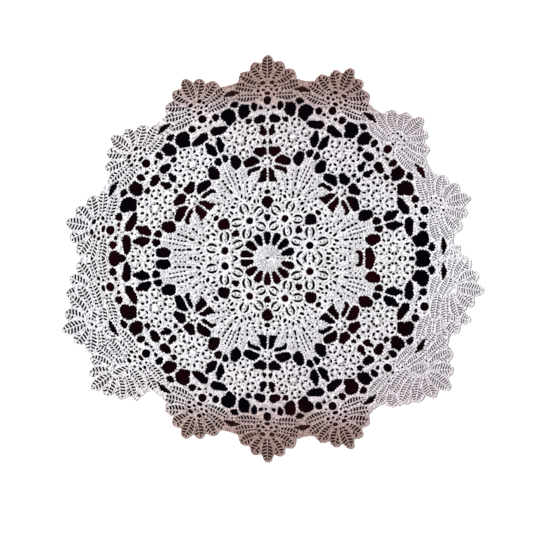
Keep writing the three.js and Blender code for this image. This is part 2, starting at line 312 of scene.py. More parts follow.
# Corners of the gaps beside a floret's axis.
FLORET_GAPS = (
    ((3.6, 50.0), (4.0, 51.6), (5.1, 53.8), (7.8, 53.8), (8.3, 51.6), (8.9, 49.6), (8.6, 48.2),
     (6.6, 47.6), (4.6, 46.9)),
    ((0.5, 56.3), (2.4, 56.4), (4.0, 54.7), (2.5, 52.6), (0.6, 53.3)),
    ((0.6, 58.0), (2.3, 57.9), (3.4, 59.7), (4.9, 60.9), (4.0, 62.4), (4.0, 65.5), (2.6, 65.8),
     (2.2, 64.2), (0.6, 63.2)),
    ((0.9, 70.3), (3.2, 71.2), (6.0, 69.9), (9.1, 69.0), (10.0, 67.5), (8.0, 66.8), (4.4, 66.6),
     (1.6, 67.7)),
    ((2.0, 74.0), (3.7, 73.9), (4.0, 74.9), (2.9, 75.2)),
    ((5.0, 75.8), (5.4, 73.9), (6.6, 73.6), (7.8, 74.4), (8.2, 76.2), (6.6, 76.9)),
)
# Corners of the gaps above a flower, across positive towards the floret.
FLOWER_GAPS = (
    ((0.2, 75.5), (0.3, 71.0), (2.8, 70.0), (4.2, 68.7), (5.4, 70.0), (5.8, 71.9), (7.4, 73.4),
     (7.5, 75.6), (3.6, 77.2)),
    ((-1.4, 71.6), (-4.3, 69.7), (-5.9, 70.1), (-6.0, 72.0), (-8.2, 72.9), (-8.3, 75.8), (-4.4, 77.3),
     (-2.3, 76.0)),
    ((1.8, 78.2), (-0.9, 76.4), (-2.8, 78.0), (-1.2, 79.7), (0.4, 79.6)),
    ((4.2, 83.6), (1.2, 83.2), (-0.5, 82.9), (-2.4, 83.3), (-5.0, 83.5), (-2.4, 84.4), (-0.6, 85.4),
     (1.0, 84.9)),
)
CENTRE_GAP = ((-0.7, 7.1), (0.7, 7.1), (1.5, 10.4), (1.6, 12.4), (0.0, 13.2), (-1.6, 12.4), (-1.5, 10.4))
# Slits of the arch round a floret, and small gaps between the fingers of its fan: across, out, wide,
# tall, lean.
ARCH_SLITS = (
    (1.5, 33.9, 2.5, 1.1, 62),
    (2.9, 32.2, 1.6, 0.9, 55),
    (4.8, 30.9, 2.5, 1.3, 35),
    (5.4, 33.1, 1.1, 0.8, 20),
    (6.4, 28.5, 2.6, 1.0, 75),
    (8.1, 27.6, 2.0, 0.9, 70),
    (4.3, 27.6, 1.1, 0.8, 90),
)
FINGER_SLITS = (
    (2.4, 38.2, 2.9, 1.1, 82),
    (3.0, 40.9, 1.5, 1.0, 80),
    (3.4, 42.9, 1.5, 1.0, 85),
    (3.6, 44.9, 1.5, 1.0, 88),
    (1.0, 40.8, 1.1, 0.6, 90),
    (1.0, 42.6, 1.1, 0.6, 90),
    (1.0, 44.4, 1.1, 0.6, 90),
    (1.0, 46.2, 1.1, 0.6, 90),
    (1.0, 48.0, 1.1, 0.6, 90),
    (5.2, 34.7, 1.2, 0.7, 55),
    (6.1, 36.8, 1.4, 0.9, 55),
    (7.1, 38.7, 1.5, 1.0, 60),
    (8.1, 40.6, 1.4, 1.0, 62),
    (9.0, 42.4, 1.1, 0.8, 65),
    (5.1, 39.8, 1.0, 0.5, 70),
    (5.7, 42.0, 1.0, 0.5, 75),
    (6.1, 44.2, 1.0, 0.5, 85),
    (9.9, 35.2, 1.2, 0.8, 45),
    (11.5, 36.8, 1.1, 0.8, 48),
    (9.6, 38.2, 1.0, 0.5, 48),
    (11.5, 31.7, 1.2, 0.9, 60),
)
# Small gaps at the foot of a scallop: across, out, wide, tall, lean. All off the axis have a twin.
SCALLOP_DOTS = (
    (0.0, 81.1, 3.0, 1.7, 0),
    (2.4, 86.4, 2.6, 1.6, -8),
    (4.1, 84.8, 1.8, 1.1, -8),
    (0.75, 84.5, 1.0, 0.8, 0),
    (2.1, 83.0, 1.5, 1.0, 0),
    (4.8, 82.6, 1.7, 1.3, 20),
    (3.5, 80.5, 1.1, 1.0, 30),
)

EYE_OUT = 77.7
FLORET_OUT = 21.0
# Round gaps beside a wheel's axis, on it and on a floret's axis: across, out, wide, tall, lean, half the
# width of the cord round them, corners.
WHEEL_DOTS = ((3.6, 34.2, 1.0, 1.3), (6.0, 36.3, 1.0, 1.0))
WHEEL_AXIS_DOTS = ((0, 32.8, 3.0, 2.2, 0, RIM, 10), (0, 35.1, 0.9, 1.3), (0, EYE_OUT, 3.9, 4.1, 0, RIM, 12))
FLORET_AXIS_DOTS = ((0, FLORET_OUT, 3.2, 3.2, 0, 0, 14), (0, EYE_OUT, 4.0, 3.9, 0, RIM, 12))
SCALLOP_DOT_CORNERS = 8

FLORET_PETALS = 5
FLORET_SLIT = ((4.2, 1.2), (6.2, 1.75), (7.8, 1.55), (8.9, 0.6))
FLORET_SLIT_HALF = 0.6
FLORET_NOTCH_OUT = 3.8
FLORET_NOTCH = 0.8
SPECK = 0.25
SPECK_SWAY = 0.4
SPECKS_OUT = (5.2, 7.1)
FLOWER_OUT = 60.4
FLOWER_PETALS = 6
PETAL_OUT = 7.0
PETAL_SLITS = 5
PETAL_SLIT_OUT = 2.1
PETAL_SLIT_PARTS = np.array([0.15, 0.4, 0.6, 0.85])
PETAL_SLIT_HALF = (0.44, 0.7)
NOTCH_OUT = 9.3
NOTCH = (2.3, 1.5)
BUTTON_OUT = 2.5
BUTTON_DOTS = 9
BUTTON_DOT = 0.95
HUB_OUT = 47.4
HUB_DOTS = 8
HUB_DOTS_OUT = 2.1
HUB_DOT = 0.85
# How unevenly a ring of dots is set: degrees to either side, and shares of its radius and of their size.
DOT_SWAY = 10
DOT_REACH = (0.88, 1.12)
DOT_SIZES = (0.6, 1.5)


def ring_of_dots(middle, radius, first, size, count):
    """A ring of small gaps round the middle of a motif."""
    gaps = []
    for lean in spread_turns(count, first):
        ahead = heading(lean + RANDOM.uniform(-DOT_SWAY, DOT_SWAY))
        across, out = middle + ahead * radius * RANDOM.uniform(*DOT_REACH)
        wide, tall = size * RANDOM.uniform(*DOT_SIZES, 2)
        gaps.append(dot(across, out, wide, tall, lean, corners=5))
    return gaps


def wheel_gaps():
    """The gaps round a wheel and on its axis."""
    gaps = [toothed_gap(corners) for corners in WHEEL_GAPS]
    gaps += [dot(*sizes) for sizes in WHEEL_DOTS]
    gaps = with_twins(gaps)
    gaps += [toothed_gap(HEART_GAP), toothed_gap(DIAMOND_GAP)]
    gaps += [dot(*sizes) for sizes in WHEEL_AXIS_DOTS]
    return gaps + ring_of_dots(np.array([0, HUB_OUT]), HUB_DOTS_OUT, 180 / HUB_DOTS, HUB_DOT, HUB_DOTS)


def floret_gaps():
    """The gaps in a floret, its arch, its fan and its stem."""
    gaps = [toothed_gap(corners) for corners in FLORET_GAPS]
    for across, out, wide, tall, lean in ARCH_SLITS + FINGER_SLITS:
        gaps.append(dot(across, out, wide, tall, lean, FINE_RIM))
    gaps = with_twins(gaps)
    gaps += [dot(*sizes) for sizes in FLORET_AXIS_DOTS]
    middle = np.array([0, FLORET_OUT])
    for lean in spread_turns(FLORET_PETALS, 90):
        ahead = heading(lean)
        sideways = beside(ahead)
        for side in (-1, 1):
            path = [middle + ahead * out + sideways * side * across for out, across in FLORET_SLIT]
            gaps.append(slit(path, FLORET_SLIT_HALF))
        across, out = middle + heading(lean + 180 / FLORET_PETALS) * FLORET_NOTCH_OUT
        gaps.append(dot(across, out, FLORET_NOTCH, FLORET_NOTCH))
        for reach in SPECKS_OUT:
            across, out = middle + ahead * reach + sideways * RANDOM.uniform(-SPECK_SWAY, SPECK_SWAY)
            gaps.append(dot(across, out, SPECK, SPECK, corners=5))
    return gaps


def flower_gaps():
    """The gaps above a flower, its petals' slits, the notches between them and its button's dots."""
    gaps = [toothed_gap(corners) for corners in FLOWER_GAPS]
    middle = np.array([0, FLOWER_OUT])
    for lean in spread_turns(FLOWER_PETALS, 90):
        petal = middle + heading(lean) * PETAL_OUT
        for first in spread_turns(PETAL_SLITS, lean):
            turns = first + PETAL_SLIT_PARTS * 360 / PETAL_SLITS
            path = [petal + heading(turn) * PETAL_SLIT_OUT for turn in turns]
            gaps.append(slit(path, RANDOM.uniform(*PETAL_SLIT_HALF)))
        between = lean + 180 / FLOWER_PETALS
        gaps.append(dot(*(middle + heading(between) * NOTCH_OUT), *NOTCH, between))
    return gaps + ring_of_dots(middle, BUTTON_OUT, 0, BUTTON_DOT, BUTTON_DOTS)


def centre_gaps():
    """One gap of the middle."""
    return [toothed_gap(CENTRE_GAP)]


def scallop_gaps(weave):
    """The small gaps at the foot of a scallop, smaller where the weave is close."""
    gaps = []
    share = CLOSE_SHARE if weave is CLOSE_WEAVE else 1.0
    for across, out, wide, tall, lean in SCALLOP_DOTS:
        made = [dot(across, out, share * wide, share * tall, lean, FINE_RIM, SCALLOP_DOT_CORNERS)]
        gaps += with_twins(made) if across else made
    return gaps


# Centre

DISC_OUT = 6.4
# The disc's rays: their place in the repeat and where they start.
RAYS = ((-0.25, 1.4), (0.25, 3.6))
RAY_HALF = (0.2, 0.4)


def centre_wedge():
    """One repeat of the satin disc in the middle."""
    strokes = []
    for part, start in RAYS:
        ahead = heading(90 + part * REPEAT)
        strokes.append(along([ahead * start, ahead * DISC_OUT], RAY_HALF, SATIN_RISE))
    return strokes


# Florets and fans

# Rings here and below are a radius and half the cord's width, loops two half sizes and half the cord's
# width, pads half their length and half their width.
FLORET_RING = (2.45, 0.62)
FLORET_LOOP = (3.4, 2.95, 0.45)
FLORET_LOOP_OUT = 6.3
FLORET_TONGUE_OUT = (3.0, 8.6)
FLORET_TONGUE = 0.8


def floret():
    """The five-petalled floret: a ringed eye and padded tongues inside thick loops."""
    middle = np.array([0, FLORET_OUT])
    strokes = [ring(middle, *FLORET_RING)]
    for lean in spread_turns(FLORET_PETALS, 90):
        ahead = heading(lean)
        strokes.append(oval(middle + ahead * FLORET_LOOP_OUT, lean, *FLORET_LOOP))
        ends = [middle + ahead * out for out in FLORET_TONGUE_OUT]
        strokes.append(tongue(*ends, FLORET_TONGUE, PAD_RISE))
    return strokes


# Fingers of a fan: spine from root to tip and half widths along it.
MIDDLE_FINGER = (
    ((0.0, 35.4), (0.0, 40.0), (0.0, 45.0), (0.0, 52.6)),
    (0.6, 1.6, 2.1, 2.7, 2.9, 3.3, 3.2, 2.6, 1.2),
)
SIDE_FINGERS = (
    (((3.3, 34.8), (4.6, 38.0), (6.0, 42.0), (6.4, 47.2)), (0.8, 1.2, 1.7, 2.1, 2.3, 2.3, 2.0, 1.0)),
    (((6.6, 34.0), (9.8, 37.6), (13.0, 40.8)), (0.8, 1.5, 2.1, 2.5, 2.2, 1.0)),
    (((8.8, 30.6), (11.0, 33.0), (12.6, 35.0)), (0.8, 1.4, 1.7, 1.0)),
)
SPINE = 0.34


def fan():
    """The fan of feathery fingers on a floret."""
    paired = []
    for finger in SIDE_FINGERS:
        paired += feather(*finger, SPINE, SATIN_RISE)
    return feather(*MIDDLE_FINGER, SPINE, SATIN_RISE) + with_twins(paired)


# Wheels and stems

# A small leaf on a stem and half of the bow at its head, as across and out from where they sit. A stem is
# where its small leaves and its bow sit.
KNOT_LEAF = np.array([(0.0, -1.8), (2.0, 0.7)])
KNOT_LEAF_HALF = 0.6
BOW = np.array([(0.6, -0.2), (4.6, 0.2), (9.8, -0.2)])
BOW_WIDTHS = (0.7, 1.2, 1.4, 1.4, 1.0)
WHEEL_STEM = (65.2, 71.4)
FLORET_STEM = (65.8, 71.6)
HUB_RING = (3.0, 0.45)
HUB_PAD = (1.3, 1.15)
SPOKE_OUT = 2.8
SPOKE = 0.28
FOOT_RING_SPOT = (2.1, 36.3)
FOOT_RING = (1.2, 0.5)
SHOULDER = ((1.0, 34.0), (2.6, 33.4), (4.6, 35.2))
SHOULDER_HALF = 0.5


def stem(knot, bow):
    """The small pair of leaves on a stem and the bow of two toothed leaves at its head."""
    paired = [tongue(*(KNOT_LEAF + [0, knot]), KNOT_LEAF_HALF, LOOP_RISE)]
    paired += feather(BOW + [0, bow], BOW_WIDTHS, BARB, LOOP_RISE)
    return with_twins(paired)


def wheel():
    """The hub of a wheel and the stem above it."""
    hub = np.array([0, HUB_OUT])
    strokes = [ring(hub, *HUB_RING), pad(hub, 0, *HUB_PAD)]
    for lean in spread_turns(HUB_DOTS):
        ahead = heading(lean)
        strokes.append(along([hub + ahead, hub + ahead * SPOKE_OUT], SPOKE, LOOP_RISE))
    return strokes + stem(*WHEEL_STEM)


def wheel_foot():
    """The two small rings on a wheel's axis below the wheel."""
    return with_twins([ring(FOOT_RING_SPOT, *FOOT_RING), along(SHOULDER, SHOULDER_HALF, LOOP_RISE)])


def floret_stem():
    """The stem above a fan."""
    return stem(*FLORET_STEM)


# Flowers

BUTTON_PAD = (1.5, 1.5)
BUTTON_RING = (3.5, 0.36)
PETAL_RING = (3.15, 0.46)
PETAL_PAD = (0.9, 0.95)


def flower():
    """The six-petalled flower: a padded button and padded petals, each inside a loop."""
    middle = np.array([0, FLOWER_OUT])
    strokes = [pad(middle, 0, *BUTTON_PAD), ring(middle, *BUTTON_RING)]
    for lean in spread_turns(FLOWER_PETALS, 90):
        petal = middle + heading(lean) * PETAL_OUT
        strokes += [ring(petal, *PETAL_RING, lean), pad(petal, lean, *PETAL_PAD, PAD_RISE)]
    return strokes


# Border

# Leaves of a scallop from front to back: root across and out, tip across and out, width. All but the
# first have a twin.
LEAVES = (
    (0.0, 87.6, 0.0, 99.9, 6.2),
    (1.5, 87.8, 7.6, 96.2, 6.4),
    (2.8, 86.2, 13.8, 91.2, 6.0),
    (4.6, 83.4, 17.8, 85.8, 5.0),
    (3.4, 79.9, 16.8, 80.0, 5.4),
)
# How a scallop's leaves are woven: the pitch of their bars, and how long the cells between them are.
Weave = namedtuple("Weave", "pitch cell")
WIDE_WEAVE = Weave(1.55, 1.1)
OPEN_WEAVE = Weave(1.55, 0.9)
CLOSE_WEAVE = Weave(1.15, 0.42)
# How far from the axis across the close and the wide weave go, in degrees, and the share of its dots that
# the close weave keeps.
CLOSE_TURN = 60
WIDE_TURN = 125
CLOSE_SHARE = 0.5
FIRST_CELL = 1.4
LAST_CELL = 0.6
LEAST_CELL = 0.25
LEAST_BAR_REACH = 0.7
CELL_SLANT = 0.35
# How far ahead of a cell or bar its leaf's width is taken, how far round a leaf it covers those behind, and
# the share of a leaf that its rib goes along.
WIDTH_AHEAD = 0.5
COVER_MARGIN = 0.1
RIB_SHARE = 0.95
LEAF_CORD = 0.32
RIB = 0.26
LADDER = 0.22
# Corners along one side of a leaf, and the powers that say where it is widest and how round it is.
LEAF_CORNERS = 24
LEAF_BELLY = 1.2
LEAF_ROUND = 0.5


class Leaf:
    """One leaf of a scallop."""

    def __init__(self, across, out, to_across, to_out, wide):
        self.root = np.array([across, out])
        self.tip = np.array([to_across, to_out])
        self.wide = wide
        self.length = np.linalg.norm(self.tip - self.root)
        self.ahead = (self.tip - self.root) / self.length

    def half_width(self, out):
        """Half the width at that distance from the root."""
        part = np.clip(out / self.length, 0, 1)
        return 0.5 * self.wide * np.sin(math.pi * part ** LEAF_BELLY) ** LEAF_ROUND

    def spot(self, out, aside):
        """The point that far from the root and that far beside the rib."""
        return self.root + self.ahead * out + beside(self.ahead) * aside

    def edge(self):
        """The loop of its edge."""
        out = self.length * (0.5 - 0.5 * np.cos(np.linspace(0, math.pi, LEAF_CORNERS)))
        aside = self.half_width(out)
        near = [self.spot(*pair) for pair in zip(out, aside)]
        far = [self.spot(*pair) for pair in zip(out, -aside)]
        return np.array(near + far[-2:0:-1])

    def holds(self, points, margin):
        """Whether each point lies on the leaf or within the margin round it."""
        out = (points - self.root) @ self.ahead
        aside = np.abs((points - self.root) @ beside(self.ahead))
        return (out > -margin) & (out < self.length + margin) & (aside < self.half_width(out) + margin)


def scallop_leaves():
    """The leaves of a scallop, each with the leaves in front of it."""
    placed = []
    pairs = []
    for across, out, to_across, to_out, wide in LEAVES:
        sides = (1, -1) if across else (1,)
        made = [Leaf(side * across, out, side * to_across, to_out, wide) for side in sides]
        for leaf in made:
            pairs.append((leaf, list(placed)))
        placed += made
    return pairs


def weave_at(turn):
    """The weave of a scallop at that turn in degrees: close on the right, wide above and below, else open."""
    if abs(turn) < CLOSE_TURN:
        return CLOSE_WEAVE
    return WIDE_WEAVE if abs(turn) < WIDE_TURN else OPEN_WEAVE


def leaf_cells(weave):
    """The cells of a scallop's leaves, cut short or left out where a leaf in front covers them."""
    gaps = []
    for leaf, front in scallop_leaves():
        for out in np.arange(FIRST_CELL, leaf.length - LAST_CELL, weave.pitch):
            far = leaf.half_width(out + WIDTH_AHEAD) - LEAF_CORD
            middle = 0.5 * (RIB + far)
            if middle - RIB < LEAST_CELL:
                continue
            for side in (-1, 1):
                for inner, outer in ((RIB, far), (RIB, middle), (middle, far)):
                    corners = []
                    for aside, end in ((inner, -0.5), (outer, -0.5), (outer, 0.5), (inner, 0.5)):
                        corners.append(leaf.spot(out + CELL_SLANT * aside + end * weave.cell, side * aside))
                    loop = np.array(corners)
                    if not any(other.holds(loop, LEAST_CELL).any() for other in front):
                        gaps.append(Gap(loop, 0.0))
                        break
    return gaps


def uncovered(stroke, front):
    """The parts of a stroke that no leaf in front covers."""
    hidden = np.zeros(len(stroke.points), dtype=bool)
    for leaf in front:
        hidden |= leaf.holds(stroke.points, COVER_MARGIN)
    return shown_parts(stroke, hidden)


def leaf_cords():
    """The cord round each leaf of a scallop and the rib along its middle."""
    strokes = []
    for leaf, front in scallop_leaves():
        strokes += uncovered(along(leaf.edge(), LEAF_CORD, LOOP_RISE, closed=True), front)
        rib = [leaf.root, leaf.spot(leaf.length * RIB_SHARE, 0)]
        strokes += uncovered(along(rib, RIB, LOOP_RISE), front)
    return strokes


def leaf_ladders(weave):
    """The thin bars between the cells of each leaf."""
    strokes = []
    for leaf, front in scallop_leaves():
        for out in np.arange(FIRST_CELL - 0.5 * weave.pitch, leaf.length - LAST_CELL, weave.pitch):
            far = leaf.half_width(out + WIDTH_AHEAD)
            if far < LEAST_BAR_REACH:
                continue
            for side in (-1, 1):
                end = leaf.spot(out + CELL_SLANT * far, side * far)
                strokes += uncovered(along([leaf.spot(out, 0), end], LADDER, CORD_RISE), front)
    return strokes


# Cords along a scallop's inner edge and along the edge between two scallops: path, points on it and half
# the width.
SCALLOP_FOOT = (((2.4, 76.0), (4.6, 77.0), (7.0, 77.4), (9.6, 77.0)), 12, 0.45)
VALLEY = (((-7.0, 86.4), (-3.5, 86.3), (0.0, 86.3), (3.5, 86.3), (7.0, 86.4)), 18, 0.5)


def scallop_foot():
    """The cord along the inner edge of a scallop."""
    path, count, half = SCALLOP_FOOT
    return with_twins([along(smooth_path(path, count), half, CORD_RISE)])


def valley():
    """The band along the edge between two scallops."""
    path, count, half = VALLEY
    return [along(smooth_path(path, count), half, LOOP_RISE)]


# Laying strokes and gaps on the coaster

# Half the bar along the mirror line, how far a gap may dip below that line and still be raised to it, and
# how far one that is joined to its image has to rise above it.
MIRROR_BAR = 0.35
MOST_RAISED = 1.6
LEAST_CUT = 0.8


def upper_runs(points, half, closed):
    """The parts of a stroke on the upper half of the coaster, each cut off on the mirror line."""
    above = points[:, 1] >= 0
    if above.all():
        return [(points, half, closed)]
    if closed:
        first = int(np.argmin(points[:, 1]))
        points = np.roll(points, -first, axis=0)
        half = np.roll(half, -first)
        above = points[:, 1] >= 0
    runs = []
    current = []
    last = len(points) if closed else len(points) - 1
    for index in range(last + 1):
        now = index % len(points)
        before = (index - 1) % len(points)
        if index and above[now] != above[before]:
            low, high = points[before], points[now]
            part = low[1] / (low[1] - high[1])
            current.append((low + (high - low) * part, half[now]))
            if not above[now]:
                runs.append(current)
                current = []
        if above[now]:
            current.append((points[now], half[now]))
    runs.append(current)
    return [(np.array([spot for spot, _ in run]), np.array([width for _, width in run]), False)
            for run in runs if len(run) > 1]


def lay(strokes, place, side=1):
    """Strokes of a motif that stands there, on the upper half and mirrored to the lower half."""
    laid = []
    for stroke in strokes:
        points = settle(place, stroke.points * [side, 1])
        for run, half, closed in upper_runs(points, stroke.half, stroke.closed):
            for mirror in (1, -1):
                laid.append(Stroke(run * [1, mirror], half, stroke.rise, closed))
    return laid


def lay_gaps(gaps, place, side=1):
    """The gaps of a motif that stands there. One that the mirror line cuts is joined to its image."""
    laid = []
    for gap in gaps:
        points = settle(place, gap.points * [side, 1])
        if points[:, 1].min() > -MOST_RAISED and points[:, 1].max() > MOST_RAISED:
            raised = np.column_stack([points[:, 0], np.maximum(points[:, 1], MIRROR_BAR)])
            loops = [raised, raised * [1, -1]]
        else:
            runs = [run for run, _, _ in upper_runs(points, np.ones(len(points)), True)]
            runs = [run for run in runs if run[:, 1].max() > LEAST_CUT]
            loops = [np.vstack([run, run[-2:0:-1] * [1, -1]]) for run in runs]
        laid += [Gap(loop, gap.rim) for loop in loops]
    return laid


def on_axes(make, put=lay, kind=None):
    """A motif on each axis of that kind, or on every axis."""
    made = make()
    laid = []
    for index, (standing, _, _) in enumerate(AXES):
        if kind in (None, standing):
            laid += put(made, index)
    return laid


def on_scallops(make, put=lay):
    """What the leaves of a scallop hold, on each axis and in the weave there."""
    made = {weave: make(weave) for weave in (WIDE_WEAVE, OPEN_WEAVE, CLOSE_WEAVE)}
    laid = []
    for index, (_, turn, _) in enumerate(AXES):
        laid += put(made[weave_at(turn)], index)
    return laid


def between_axes(make, put=lay):
    """A motif between each two axes, its across side turned towards the floret."""
    made = make()
    laid = []
    for index, (standing, _, _) in enumerate(AXES[:-1]):
        laid += put(made, index + 0.5, 1 if standing == "wheel" else -1)
    return laid


# Lower scallops

# Scallops of the lower half that lie over the mirrored ones and reach past them: turn in degrees, reach
# of the tip and spread to the sides.
LOWER_SCALLOPS = (
    (-8.5, 107.0, 1.0),
    (-35.5, 110.0, 1.0),
    (-143.5, 108.0, 0.85),
    (-160.5, 107.0, 1.0),
)


def settle_lower(scallop, points):
    """Where points of the even repeat lie on a lower scallop."""
    turn, tip, spread = scallop
    angle = np.radians(turn) + spread * np.arctan2(points[:, 0], points[:, 1])
    return at_turn(np.hypot(points[:, 0], points[:, 1]) * tip / EVEN_TIP, angle)


def lay_lower(make):
    """Strokes made for the weave of each lower scallop, as far as they lie on the lower half."""
    laid = []
    for scallop in LOWER_SCALLOPS:
        for stroke in make(weave_at(scallop[0])):
            moved = stroke._replace(points=settle_lower(scallop, stroke.points))
            laid += shown_parts(moved, moved.points[:, 1] > -MIRROR_BAR)
    return laid


def lower_cells():
    """The cells of the lower scallops."""
    gaps = []
    for scallop in LOWER_SCALLOPS:
        for gap in leaf_cells(weave_at(scallop[0])):
            loop = settle_lower(scallop, gap.points)
            if loop[:, 1].max() < -MIRROR_BAR:
                gaps.append(Gap(loop, gap.rim))
    return gaps


# Taken spots

SPOT = 0.15
MAP_HALF = 115.0


class SpotMap:
    """A fine grid over the coaster that remembers which spots are taken."""

    def __init__(self):
        count = round(2 * MAP_HALF / SPOT)
        self.taken = np.zeros((count, count), dtype=bool)

    def cell(self, points):
        """The column and row of each point."""
        return ((points + MAP_HALF) / SPOT).astype(int)

    def has(self, points):
        """Whether each point lies on a taken spot."""
        column, row = self.cell(points).T
        return self.taken[row, column]

    def mark(self, points):
        """Takes the spots on which the points lie."""
        column, row = self.cell(points).T
        self.taken[row, column] = True

    def take(self, loop):
        """Takes the spots inside a loop."""
        low = self.cell(loop.min(axis=0))
        high = self.cell(loop.max(axis=0)) + 1
        across = (np.arange(low[0], high[0]) + 0.5) * SPOT - MAP_HALF
        up = ((np.arange(low[1], high[1]) + 0.5) * SPOT - MAP_HALF)[:, None]
        inside = np.zeros((len(up), len(across)), dtype=bool)
        for start, end in zip(loop, np.roll(loop, -1, axis=0)):
            if start[1] != end[1]:
                crossing = start[0] + (end[0] - start[0]) * (up - start[1]) / (end[1] - start[1])
                inside ^= ((start[1] > up) != (end[1] > up)) & (across < crossing)
        self.taken[low[1]:high[1], low[0]:high[0]] |= inside

    def take_outside(self, edge):
        """Takes the spots outside an edge that goes round the middle."""
        line = (np.arange(len(self.taken)) + 0.5) * SPOT - MAP_HALF
        turn = np.arctan2(line[:, None], line)
        reach = np.interp(turn, *polar(edge), period=2 * math.pi)
        self.taken |= np.hypot(line[:, None], line) > reach


def lower_leaf_spots():
    """The spots of the lower half that the leaves of the lower scallops cover."""
    spots = SpotMap()
    for scallop in LOWER_SCALLOPS:
        for leaf, _ in scallop_leaves():
            spots.take(settle_lower(scallop, leaf.edge()))
    spots.taken[len(spots.taken) // 2:] = False
    return spots


# Room for gaps

# The least bar between gaps, the share of the edge that they keep inside, how often and how far a gap too
# near another is drawn in, and what counts as touching.
LEAST_BAR = 0.3
GAPS_SHARE = 0.995
DRAW_STEPS = 12
DRAW_SHARE = 0.08
TOUCH = 1e-12


def turning(first, second):
    """How far the second direction lies to the left of the first, with a sign."""
    return first[..., 0] * second[..., 1] - first[..., 1] * second[..., 0]


def untangled(loop):
    """The loop without the small knots where it crosses itself."""
    while True:
        after = np.roll(loop, -1, axis=0)
        ahead = (after - loop)[:, None]
        starts = turning(ahead, loop[None] - loop[:, None])
        ends = turning(ahead, after[None] - loop[:, None])
        parted = starts * ends < -TOUCH
        crossing = np.argwhere(np.triu(parted & parted.T, 2))
        if not len(crossing):
            return loop
        first, last = crossing[0]
        inner = loop[first + 1:last + 1]
        outer = np.vstack([loop[:first + 1], loop[last + 1:]])
        loop = inner if len(inner) > len(outer) else outer


def fitted(loop, near):
    """The loop, drawn in where it comes too near a gap, or nothing if there is no room for it."""
    middle = loop.mean(axis=0)
    for _ in range(DRAW_STEPS):
        between = near.has(0.5 * (loop + np.roll(loop, -1, axis=0)))
        close = near.has(loop) | between | np.roll(between, 1)
        if not close.any():
            return untangled(loop)
        loop = np.where(close[:, None], loop + (middle - loop) * DRAW_SHARE, loop)
    return None


def open_gaps(front):
    """The gaps with room for them that no lower scallop covers, and the spots on or near them."""
    main = (on_axes(centre_gaps, lay_gaps) + on_axes(wheel_gaps, lay_gaps, "wheel")
            + on_axes(floret_gaps, lay_gaps, "floret") + between_axes(flower_gaps, lay_gaps))
    border = on_scallops(scallop_gaps, lay_gaps) + on_scallops(leaf_cells, lay_gaps)
    border = [gap for gap in border if not front.has(gap.points).any()]
    near = SpotMap()
    near.take_outside(outline(GAPS_SHARE))
    kept = []
    for gap in main + lower_cells() + border:
        loop = fitted(gap.points, near)
        if loop is not None:
            near.take(grown(loop, LEAST_BAR))
            kept.append(Gap(loop, gap.rim))
    return kept, near


SIDE_SHARE = 0.75


def clear_strokes(strokes, gaps):
    """The strokes without what would lie over a gap."""
    kept = []
    for stroke in strokes:
        points = stroke.points
        sideways = beside(directions(points)) * stroke.half[:, None] * SIDE_SHARE
        hidden = gaps.has(points) | gaps.has(points + sideways) | gaps.has(points - sideways)
        kept += shown_parts(stroke, hidden)
    return kept


# Small gaps between the strokes

NET_SIZES = (1.7, 1.35, 1.0)
NET_PITCH = 1.0
NET_BAR = 0.4
NET_HALF = MAP_HALF - 1
NET_SWAY = 0.4
NET_STRETCH = (0.9, 1.3)
# Where the spots under a stroke are taken: directions from each of its points, and shares of its width.
STAMPS = 10
STAMP_SHARES = (0.0, 0.5, 0.9)


def cover_strokes(strokes, spots):
    """Takes the spots under the strokes."""
    points = np.concatenate([stroke.points for stroke in strokes])
    half = np.concatenate([stroke.half for stroke in strokes])[:, None]
    for share in STAMP_SHARES:
        for lean in spread_turns(STAMPS):
            spots.mark(points + heading(lean) * half * share)


def net_gaps(near):
    """Loops of small gaps wherever neither a stroke nor a larger gap lies, as the stitches leave them."""
    spread = np.arange(-NET_HALF, NET_HALF, NET_PITCH)
    spots = np.stack(np.meshgrid(spread, spread), axis=-1).reshape(-1, 2)
    spots = spots + RANDOM.uniform(-NET_SWAY, NET_SWAY, spots.shape)
    loops = []
    for size in NET_SIZES:
        for spot in RANDOM.permutation(spots[~near.has(spots)]):
            long_half = 0.5 * size * RANDOM.uniform(*NET_STRETCH)
            loop = oval_points(spot, RANDOM.uniform(0, 180), long_half, 0.5 * size, 4)
            if not near.has(np.vstack([loop, 0.5 * (loop + np.roll(loop, 1, axis=0))])).any():
                near.take(grown(loop, NET_BAR))
                loops.append(loop)
    return loops


# Edge

# Half a scallop's edge from tip to valley: control point and end of each curve, as across and out.
EDGE_TIP = (0.0, 100.0)
EDGE_CURVES = (
    ((2.2, 99.6), (2.9, 96.4)),
    ((9.4, 98.0), (9.2, 91.4)),
    ((15.6, 93.2), (15.0, 87.8)),
    ((17.0, 86.6), (19.7, 86.4)),
)
CURVE_POINTS = 5
EDGE_STEPS = 1080
# The widest step round the middle between two points of a loop. A wider one is a jump from turn to turn.
WIDEST_STEP = 1.0


def scallop_edge():
    """Points of a scallop's edge, from the valley on its one side to the valley on its other side."""
    points = [np.array([EDGE_TIP])]
    start = np.array(EDGE_TIP)
    for control, end in EDGE_CURVES:
        part = np.linspace(0, 1, CURVE_POINTS)[1:, None]
        control, end = np.array(control), np.array(end)
        points.append(start * (1 - part) ** 2 + 2 * control * part * (1 - part) + end * part ** 2)
        start = end
    half = np.vstack(points)
    return np.vstack([half[:0:-1] * [-1, 1], half])


def polar(points):
    """The turn of each point and its distance from the middle."""
    return np.arctan2(points[:, 1], points[:, 0]), np.hypot(points[:, 0], points[:, 1])


